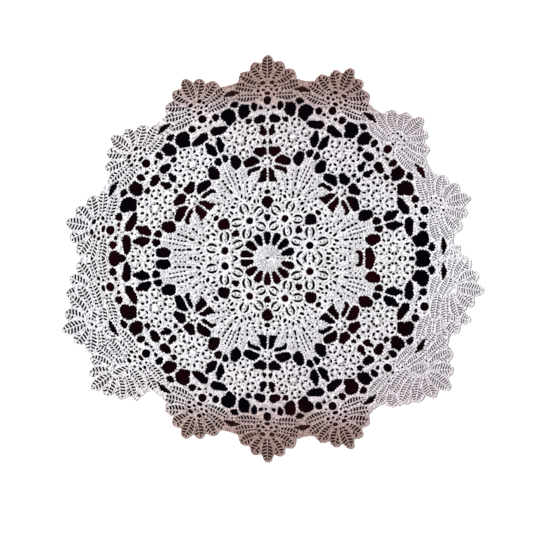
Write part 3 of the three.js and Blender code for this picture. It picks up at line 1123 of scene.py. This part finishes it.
def outer_reach(loops, turn):
    """The largest radius that the loops have at each turn."""
    reach = np.zeros(len(turn))
    for loop in loops:
        angle, radius = polar(loop)
        span = np.roll(angle, -1) - angle
        part = (turn[:, None] - angle) / np.where(span == 0, 1, span)
        on = (part >= 0) & (part <= 1) & (np.abs(span) < WIDEST_STEP)
        there = np.where(on, radius + (np.roll(radius, -1) - radius) * part, 0)
        reach = np.maximum(reach, there.max(axis=1))
    return reach


def outline(share):
    """The coaster's edge as one loop round its scallops and their leaves, drawn in to that share."""
    edge = scallop_edge()
    leaves = [leaf.edge() for leaf, _ in scallop_leaves()]
    loops = []
    for index in range(len(AXES)):
        for form in [edge] + leaves:
            loop = settle(index, form)
            loop = loop[loop[:, 1] > MIRROR_BAR]
            loops += [loop, loop * [1, -1]]
    for scallop in LOWER_SCALLOPS:
        loops.append(settle_lower(scallop, edge))
        for form in leaves:
            loop = settle_lower(scallop, form)
            loops.append(loop[loop[:, 1] < -MIRROR_BAR])
    turn = np.linspace(-math.pi, math.pi, EDGE_STEPS, endpoint=False)
    reach = outer_reach([loop for loop in loops if len(loop)], turn)
    return at_turn(reach[reach > 0], turn[reach > 0]) * share


# Node trees

WELD = 1e-6
NOISE_SCALE = 600.0


def new_node(tree, kind, feeds=(), **settings):
    """A node of that kind with its settings. Each input named in feeds takes a socket or a plain value."""
    made = tree.nodes.new(kind)
    for name, value in settings.items():
        setattr(made, name, value)
    for name, value in dict(feeds).items():
        if isinstance(value, bpy.types.NodeSocket):
            tree.links.new(value, made.inputs[name])
        else:
            made.inputs[name].default_value = value
    return made


def fed(tree, kind, feeds=(), **settings):
    """The first output of a new node."""
    return new_node(tree, kind, feeds, **settings).outputs[0]


def maths(tree, operation, *values):
    """A sum of one or two values, each a socket or a number."""
    return fed(tree, "ShaderNodeMath", enumerate(values), operation=operation)


def new_tree(name, kind, inputs, outputs):
    """An empty tree with named inputs and outputs. Gives the tree and the sockets of its inputs."""
    tree = bpy.data.node_groups.new(name, kind)
    for way, sockets in (("INPUT", inputs), ("OUTPUT", outputs)):
        for label, held in sockets.items():
            tree.interface.new_socket(label, in_out=way, socket_type="NodeSocket" + held)
    return tree, new_node(tree, "NodeGroupInput").outputs


def mesh_tree(name, sizes):
    """An empty tree that changes a mesh, with named inputs for its sizes and its finish."""
    inputs = {"Geometry": "Geometry", **sizes, "Finish": "Material"}
    return new_tree(name, "GeometryNodeTree", inputs, {"Geometry": "Geometry"})


def end_tree(tree, geometry, finish):
    """The end of each tree: nothing left as an instance, and the finish on every face."""
    real = fed(tree, "GeometryNodeRealizeInstances", {0: geometry})
    dressed = fed(tree, "GeometryNodeSetMaterial", {"Geometry": real, "Material": finish})
    new_node(tree, "NodeGroupOutput", {0: dressed})
    return tree


def ground_tree():
    """Fills the edge and the gaps, drawn as loops, into a sheet with holes from its underside to its top."""
    tree, sizes = mesh_tree("stitched_ground", {"Underside": "Float", "Thickness": "Float"})
    path = fed(tree, "GeometryNodeMeshToCurve", {0: sizes["Geometry"]})
    filled = fed(tree, "GeometryNodeFillCurve", {0: path})
    lift = fed(tree, "ShaderNodeCombineXYZ", {"Z": sizes["Thickness"]})
    rising = {"Mesh": filled, "Offset": lift, "Individual": False}
    raised = fed(tree, "GeometryNodeExtrudeMesh", rising, mode="FACES")
    under = fed(tree, "GeometryNodeFlipFaces", {0: filled})
    both = new_node(tree, "GeometryNodeJoinGeometry", {0: raised})
    tree.links.new(under, both.inputs[0])
    closed = fed(tree, "GeometryNodeMergeByDistance", {"Geometry": both.outputs[0], "Distance": WELD})
    height = fed(tree, "ShaderNodeCombineXYZ", {"Z": sizes["Underside"]})
    placed = fed(tree, "GeometryNodeSetPosition", {"Geometry": closed, "Offset": height})
    return end_tree(tree, placed, sizes["Finish"])


def cord_tree():
    """Sweeps each drawn stroke into a beaded, slightly wandering cord that lies on the surface."""
    tree, sizes = mesh_tree("stitched_cord", {
        "Step": "Float", "Sides": "Int", "Bead pitch": "Float", "Bead depth": "Float", "Wander": "Float",
    })
    carried = []
    for name in ("half_width", "rise"):
        held = new_node(tree, "GeometryNodeInputNamedAttribute", {"Name": name}, data_type="FLOAT")
        carried.append(held.outputs["Attribute"])
    half, rise = carried

    path = fed(tree, "GeometryNodeMeshToCurve", {0: sizes["Geometry"]})
    spaced = fed(tree, "GeometryNodeResampleCurve", {"Curve": path, "Length": sizes["Step"]}, mode="LENGTH")

    noise = new_node(tree, "ShaderNodeTexNoise", {"Scale": NOISE_SCALE, "Detail": 1.0}, noise_dimensions="3D")
    shift = noise.outputs["Color"]
    for operation, feeds in (
        ("SUBTRACT", {1: (0.5, 0.5, 0.5)}),
        ("MULTIPLY", {1: (1.0, 1.0, 0.0)}),
        ("SCALE", {"Scale": sizes["Wander"]}),
    ):
        shift = fed(tree, "ShaderNodeVectorMath", {0: shift, **feeds}, operation=operation)
    wandering = fed(tree, "GeometryNodeSetPosition", {"Geometry": spaced, "Offset": shift})

    upright = fed(tree, "GeometryNodeSetCurveNormal", {"Curve": wandering}, mode="Z_UP")
    run = new_node(tree, "GeometryNodeSplineParameter").outputs["Length"]
    mark = {"Name": "stitch_run", "Geometry": upright, "Value": run}
    marked = fed(tree, "GeometryNodeStoreNamedAttribute", mark, data_type="FLOAT", domain="POINT")

    phase = maths(tree, "MULTIPLY", maths(tree, "DIVIDE", run, sizes["Bead pitch"]), 2 * math.pi)
    bead = maths(tree, "MULTIPLY", maths(tree, "SINE", phase), sizes["Bead depth"])
    swell = maths(tree, "MULTIPLY", half, maths(tree, "ADD", bead, 1.0))
    circle = {"Radius": 1.0, "Resolution": sizes["Sides"]}
    profile = fed(tree, "GeometryNodeCurvePrimitiveCircle", circle, mode="RADIUS")
    sweep = {"Curve": marked, "Profile Curve": profile, "Scale": swell, "Fill Caps": True}
    swept = fed(tree, "GeometryNodeCurveToMesh", sweep)

    position = fed(tree, "GeometryNodeInputPosition")
    place = new_node(tree, "ShaderNodeSeparateXYZ", {0: position}).outputs
    share = maths(tree, "DIVIDE", place["Z"], half)
    lifted = maths(tree, "ADD", maths(tree, "ADD", share, 1.0), sizes["Bead depth"])
    height = maths(tree, "MULTIPLY", lifted, maths(tree, "MULTIPLY", rise, 0.5))
    spot = fed(tree, "ShaderNodeCombineXYZ", {"X": place["X"], "Y": place["Y"], "Z": height})
    resting = fed(tree, "GeometryNodeSetPosition", {"Geometry": swept, "Position": spot})
    smooth = fed(tree, "GeometryNodeSetShadeSmooth", {"Geometry": resting})
    return end_tree(tree, smooth, sizes["Finish"])


# Pieces

def in_scene(name, data):
    """A new object in the scene."""
    made = bpy.data.objects.new(name, data)
    bpy.context.scene.collection.objects.link(made)
    return made


def drawn_chains(name, chains):
    """Chains of points, each with whether its ends meet, as edges in metres."""
    spots, edges = [], []
    first = 0
    for points, closed in chains:
        count = len(points)
        spots.append(np.column_stack([points, np.zeros(count)]) * MM)
        edges.extend((first + index, first + index + 1) for index in range(count - 1))
        if closed:
            edges.append((first + count - 1, first))
        first += count
    mesh = bpy.data.meshes.new(name)
    mesh.from_pydata(np.vstack(spots), edges, [])
    return mesh


def drawn_strokes(name, strokes):
    """The strokes as chains that carry their half widths and rises, in metres."""
    mesh = drawn_chains(name, [(stroke.points, stroke.closed) for stroke in strokes])
    halves = np.concatenate([stroke.half for stroke in strokes])
    rises = np.concatenate([np.full(len(stroke.half), stroke.rise) for stroke in strokes])
    for label, values in (("half_width", halves), ("rise", rises)):
        held = mesh.attributes.new(label, "FLOAT", "POINT")
        held.data.foreach_set("value", (values * MM).astype(np.float32))
    return mesh


def made_piece(drawn, tree, sizes):
    """A finished piece of lace made from what is drawn."""
    piece = in_scene(drawn.name, drawn)
    modifier = piece.modifiers.new("stitches", "NODES")
    modifier.node_group = tree
    for socket in tree.interface.items_tree:
        if socket.in_out == "INPUT" and socket.name in sizes:
            modifier[socket.identifier] = sizes[socket.name]
    evaluated = piece.evaluated_get(bpy.context.evaluated_depsgraph_get())
    made = bpy.data.meshes.new_from_object(evaluated)
    piece.modifiers.remove(modifier)
    piece.data = made
    return piece


# Finishes

# Colours of the cotton by the share of the way from the mirror line to the upper and lower tips: white with a
# breath of lilac, then painted greyish and brownish shade towards the tips.
TINTS_AND_END_SHADE = (
    (0.5, (0.93, 0.915, 0.95, 1)),
    (0.7, (0.92, 0.88, 0.91, 1)),
    (0.77, (0.70, 0.57, 0.555, 1)),
    (0.85, (0.55, 0.39, 0.345, 1)),
    (1.0, (0.49, 0.335, 0.285, 1)),
)
# Over how many metres from the mirror line the tints and their painted shade go, and how far and how finely
# they drift.
END_SHADE_REACH = (0.0, 0.1)
DRIFT = 0.012
DRIFT_SCALE = 60.0
# The tone of the painted shade that darkens the cotton, from where to where it sets in, and how much sooner
# it does on the right.
PAINTED_SHADE_TONE = (0.84, 0.78, 0.81, 1)
PAINTED_SHADE_REACH = (0.03, 0.095)
PAINTED_SHADE_RIGHT = 0.3
# Scale and detail of the fibre, scale of the knots, and the part of each that darkens the colour with painted
# shade, mottled over the fibre and in the crevices between the knots.
FIBRE = (900.0, 3.0)
FIBRE_SHADE_PART = (0.3, 0.7)
KNOT_SCALE = 950.0
KNOT_SHADE_PART = (0.4, 0.8)
# How deep the painted shade of fibre and knots goes on the cords and on the ground.
CORD_DEEPEST_SHADE = 0.66
GROUND_DEEPEST_SHADE = 0.45
COTTON = {"Roughness": 0.85, "Sheen Weight": 0.2, "Sheen Roughness": 0.5}
RELIEF = 0.0003
CORD_RELIEF = 0.5
GROUND_RELIEF = 0.6
ROW_PITCH = 0.0011
# The stitches across a cord: the length of one, how far the fibre shifts it, the part of it that is darkened
# with painted shade in the groove between stitches and how dark, and its share of the relief.
THREAD_TURN = 0.0012
THREAD_SHIFT = 5.0
THREAD_GROOVE_SHADE = (-1.0, -0.3, 0.62)
THREAD_RELIEF = 0.5


def object_place(tree):
    """The place of a point on its piece, and the parts of that place."""
    place = new_node(tree, "ShaderNodeTexCoord").outputs["Object"]
    return place, new_node(tree, "ShaderNodeSeparateXYZ", {0: place}).outputs


def ranged(tree, value, start, end, low=0.0, high=1.0):
    """What goes from low to high while the value goes from start to end."""
    feeds = {"Value": value, "From Min": start, "From Max": end, "To Min": low, "To Max": high}
    return new_node(tree, "ShaderNodeMapRange", feeds).outputs["Result"]


def blended(tree, share, first, second, blend="MIX"):
    """The first colour turned to that share into the second, or into its product with the second."""
    feeds = {"Factor": share, "A": first, "B": second}
    return new_node(tree, "ShaderNodeMix", feeds, data_type="RGBA", blend_type=blend).outputs["Result"]


def clouds(tree, place, scale, detail=2.0):
    """A noise of that scale."""
    feeds = {"Scale": scale, "Detail": detail, "Vector": place}
    return new_node(tree, "ShaderNodeTexNoise", feeds).outputs["Fac"]


def cotton_and_shade_group():
    """Colour and fibre of the cotton: white with a breath of lilac, with painted brownish shade towards the
    upper and lower tips, painted shade that darkens it towards these and the right, and painted shade mottled
    over the fibre and in the crevices between its knots."""
    outputs = {"Colour": "Color", "Fibre": "Float"}
    tree, inputs = new_tree("cotton", "ShaderNodeTree", {"Darkest": "Float"}, outputs)
    place, parts = object_place(tree)
    height = maths(tree, "ABSOLUTE", parts["Y"])
    cloud = maths(tree, "SUBTRACT", clouds(tree, place, DRIFT_SCALE), 0.5)
    drift = maths(tree, "MULTIPLY", cloud, DRIFT)
    # The ramp: the cotton's white with a breath of lilac, then painted brownish shade towards the upper and
    # lower tips.
    reach = ranged(tree, maths(tree, "ADD", height, drift), *END_SHADE_REACH)
    tint_and_end_shade = new_node(tree, "ShaderNodeValToRGB", {"Fac": reach})
    stops = tint_and_end_shade.color_ramp.elements
    for stop, (position, colour) in zip(stops, (TINTS_AND_END_SHADE[0], TINTS_AND_END_SHADE[-1])):
        stop.position = position
        stop.color = colour
    for position, colour in TINTS_AND_END_SHADE[1:-1]:
        stops.new(position).color = colour
    # Painted shade: the cotton darkens towards the upper and lower tips, and sooner on the right.
    right = maths(tree, "MULTIPLY", parts["X"], PAINTED_SHADE_RIGHT)
    painted_shade = ranged(tree, maths(tree, "ADD", height, right), *PAINTED_SHADE_REACH)
    with_painted_shade = blended(tree, painted_shade, tint_and_end_shade.outputs["Color"], PAINTED_SHADE_TONE, "MULTIPLY")
    fibre = clouds(tree, place, *FIBRE)
    # Painted shade mottled over the fibre, and painted shade in the crevices between the knots.
    shade = ranged(tree, fibre, *FIBRE_SHADE_PART, inputs["Darkest"])
    spread = {"Scale": KNOT_SCALE, "Vector": place}
    knots = new_node(tree, "ShaderNodeTexVoronoi", spread, feature="F1").outputs["Distance"]
    painted_crevice_shade = ranged(tree, knots, *KNOT_SHADE_PART, 1.0, inputs["Darkest"])
    stitched_and_shaded = blended(tree, 1.0, with_painted_shade, maths(tree, "MULTIPLY", shade, painted_crevice_shade), "MULTIPLY")
    new_node(tree, "NodeGroupOutput", {"Colour": stitched_and_shaded, "Fibre": maths(tree, "SUBTRACT", fibre, knots)})
    return tree


def new_finish(name, sockets):
    """A new material, its tree, and its shader with those plain values."""
    material = bpy.data.materials.new(name)
    material.use_nodes = True
    shader = material.node_tree.nodes["Principled BSDF"]
    for label, value in sockets.items():
        shader.inputs[label].default_value = value
    return material, material.node_tree, shader


def raise_relief(tree, shader, height, strength):
    """A bump of that height on the shader."""
    relief = fed(tree, "ShaderNodeBump", {"Strength": strength, "Distance": RELIEF, "Height": height})
    tree.links.new(relief, shader.inputs["Normal"])


def cord_finish(group):
    """Cotton with fine stitches across the cords, and painted shade in the grooves between them."""
    material, tree, shader = new_finish("lace_thread", COTTON)
    cotton = new_node(tree, "ShaderNodeGroup", {"Darkest": CORD_DEEPEST_SHADE}, node_tree=group).outputs
    run = new_node(tree, "ShaderNodeAttribute", attribute_name="stitch_run").outputs["Fac"]
    turns = maths(tree, "MULTIPLY", run, 2 * math.pi / THREAD_TURN)
    shift = maths(tree, "MULTIPLY", cotton["Fibre"], THREAD_SHIFT)
    twist = maths(tree, "SINE", maths(tree, "ADD", turns, shift))
    # Painted shade in the grooves between the stitches.
    groove_shaded = blended(tree, 1.0, cotton["Colour"], ranged(tree, twist, *THREAD_GROOVE_SHADE), "MULTIPLY")
    tree.links.new(groove_shaded, shader.inputs["Base Color"])
    threads = maths(tree, "MULTIPLY", twist, THREAD_RELIEF)
    raise_relief(tree, shader, maths(tree, "ADD", threads, cotton["Fibre"]), CORD_RELIEF)
    return material


def ground_finish(group):
    """Cotton with rows of crossing stitches, with deeper painted shade because it lies lower."""
    material, tree, shader = new_finish("lace_ground_thread", COTTON)
    # Deeper painted shade on the ground, which lies lower than the cords.
    cotton = new_node(tree, "ShaderNodeGroup", {"Darkest": GROUND_DEEPEST_SHADE}, node_tree=group).outputs
    tree.links.new(cotton["Colour"], shader.inputs["Base Color"])
    _, parts = object_place(tree)
    rows = []
    for operation in ("ADD", "SUBTRACT"):
        slant = maths(tree, operation, parts["X"], parts["Y"])
        rows.append(maths(tree, "SINE", maths(tree, "MULTIPLY", slant, 2 * math.pi / ROW_PITCH)))
    woven = maths(tree, "MULTIPLY", *rows)
    raise_relief(tree, shader, maths(tree, "ADD", woven, cotton["Fibre"]), GROUND_RELIEF)
    return material


# The part of the noise over which a plain finish changes its colour, and where the painted brownish light at
# its ends sets in.
PLAIN_PART = (0.42, 0.66)
PAINTED_BROWN_REACH = (0.076, 0.086)


def plain_finish(name, colours, scale, roughness, ends=None):
    """A plain cloth or board whose colour drifts a little and may take painted brownish light at its upper
    and lower ends.
    """
    material, tree, shader = new_finish(name, {"Roughness": roughness, "Specular IOR Level": 0.0})
    place, parts = object_place(tree)
    colour = blended(tree, ranged(tree, clouds(tree, place, scale), *PLAIN_PART), *colours)
    if ends:
        # Painted brownish light towards the upper and lower ends, as on the lace's ends.
        reach = ranged(tree, maths(tree, "ABSOLUTE", parts["Y"]), *PAINTED_BROWN_REACH)
        colour = blended(tree, reach, colour, ends)
    tree.links.new(colour, shader.inputs["Base Color"])
    return material


# Stage

UNDERLAY_SHARE = 0.995
UNDERLAY_TOP = -0.00005
DARK_COLOURS = ((0.0008, 0.0007, 0.0018, 1), (0.007, 0.0008, 0.0014, 1))
# Painted brownish light on the dark cloth at its upper and lower ends.
PAINTED_BROWN_LIGHT = (0.02, 0.0075, 0.0055, 1)
DARK_SCALE = 30.0
DARK_ROUGHNESS = 1.0
FLOOR_TOP = -0.0005
FLOOR_HALF = 1.5
PALE_COLOURS = ((0.93, 0.93, 0.93, 1), (0.95, 0.95, 0.95, 1))
PALE_SCALE = 8.0
PALE_ROUGHNESS = 0.9


def stage_sheet(name, corners, height, finish):
    """One flat piece of the stage."""
    mesh = bpy.data.meshes.new(name)
    mesh.from_pydata([(x, y, height) for x, y in corners], [], [tuple(range(len(corners)))])
    mesh.materials.append(finish)
    piece = in_scene(name, mesh)


def stage():
    """The pale floor and a thin dark cloth under the lace, inside its edge, so that the gaps read dark."""
    corners = [(x * FLOOR_HALF, y * FLOOR_HALF) for x, y in ((-1, -1), (1, -1), (1, 1), (-1, 1))]
    pale = plain_finish("pale_board", PALE_COLOURS, PALE_SCALE, PALE_ROUGHNESS)
    stage_sheet("pale_floor", corners, FLOOR_TOP, pale)
    dark = plain_finish("dark_cloth", DARK_COLOURS, DARK_SCALE, DARK_ROUGHNESS, PAINTED_BROWN_LIGHT)
    stage_sheet("dark_underlay", outline(UNDERLAY_SHARE) * MM, UNDERLAY_TOP, dark)


SKY = 0.45
LAMP_ENERGY = 84.0
LAMP_SIZE = 1.0
LAMP_PLACE = (-1.0, 0.4, 2.0)
LAMP_TURN = (-10, -26.5, 0)


def soft_light():
    """An even sky and one large lamp overhead."""
    world = bpy.data.worlds.new("soft_sky")
    world.use_nodes = True
    sky = world.node_tree.nodes["Background"]
    sky.inputs["Color"].default_value = (1.0, 1.0, 1.0, 1)
    sky.inputs["Strength"].default_value = SKY
    bpy.context.scene.world = world
    lamp = bpy.data.lights.new("overhead_lamp", "AREA")
    lamp.energy = LAMP_ENERGY
    lamp.size = LAMP_SIZE
    holder = in_scene("overhead_lamp", lamp)
    holder.location = LAMP_PLACE
    holder.rotation_euler = [math.radians(turn) for turn in LAMP_TURN]


PHOTO_WIDTH = 0.2708
PHOTO_MIDDLE = (0.00393, -0.00835)
CAMERA_HEIGHT = 1.2
SENSOR = 36.0


def straight_down_camera():
    """The camera straight above the coaster."""
    lens = bpy.data.cameras.new("camera")
    lens.sensor_width = SENSOR
    lens.lens = SENSOR * CAMERA_HEIGHT / PHOTO_WIDTH
    holder = in_scene("camera", lens)
    holder.location = (*PHOTO_MIDDLE, CAMERA_HEIGHT)
    bpy.context.scene.camera = holder


# Making the coaster

GROUND_SIZES = {"Underside": 0.1 * MM, "Thickness": 0.45 * MM}
GROUND_SHARE = 0.999
NET_SHARE = 0.97
CORD_SIZES = {"Step": 0.45 * MM, "Sides": 6, "Bead pitch": 1.4 * MM, "Bead depth": 0.22, "Wander": 0.9 * MM}
FINE_SIZES = {"lace_border_ladders": {"Step": 0.7 * MM, "Sides": 4}}


def families():
    """The strokes of each family of stitches by the name of its piece."""
    return {
        "lace_centre_florets": on_axes(centre_wedge) + on_axes(floret, kind="floret"),
        "lace_fans": on_axes(fan, kind="floret") + on_axes(wheel_foot, kind="wheel"),
        "lace_flowers": between_axes(flower),
        "lace_stems_wheels": on_axes(wheel, kind="wheel") + on_axes(floret_stem, kind="floret"),
        "lace_border_leaves": on_axes(leaf_cords) + on_axes(scallop_foot) + between_axes(valley),
        "lace_border_ladders": on_scallops(leaf_ladders),
    }


def lower_families():
    """The strokes of the lower scallops by the name of their piece."""
    return {
        "lace_border_leaves": lay_lower(lambda weave: leaf_cords()),
        "lace_border_ladders": lay_lower(leaf_ladders),
    }


def dress(piece):
    """What each piece of lace is to the frame."""
    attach(piece, "root")
    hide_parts("lace")


def main():
    """Sets the stage and makes the lace."""
    straight_down_camera()
    soft_light()
    stage()
    bpy.context.scene.view_settings.view_transform = "Standard"
    cotton = cotton_and_shade_group()
    front = lower_leaf_spots()
    gaps, near = open_gaps(front)
    spots = SpotMap()
    for gap in gaps:
        spots.take(gap.points)
    lower = lower_families()
    laid = {"lace_gap_cords": clear_strokes(rims(gaps), spots)}
    for name, strokes in families().items():
        shown = []
        for stroke in strokes:
            shown += shown_parts(stroke, front.has(stroke.points))
        laid[name] = clear_strokes(shown + lower.get(name, []), spots)
    for strokes in laid.values():
        cover_strokes(strokes, near)
    near.take_outside(outline(NET_SHARE))
    loops = [outline(GROUND_SHARE)] + [gap.points for gap in gaps] + net_gaps(near)
    drawn = drawn_chains("lace_ground", [(loop, True) for loop in loops])
    ground = made_piece(drawn, ground_tree(), dict(GROUND_SIZES, Finish=ground_finish(cotton)))
    dress(ground)
    tree = cord_tree()
    finish = cord_finish(cotton)
    for name, strokes in laid.items():
        sizes = dict(CORD_SIZES, Finish=finish, **FINE_SIZES.get(name, {}))
        piece = made_piece(drawn_strokes(name, strokes), tree, sizes)
        dress(piece)


main()
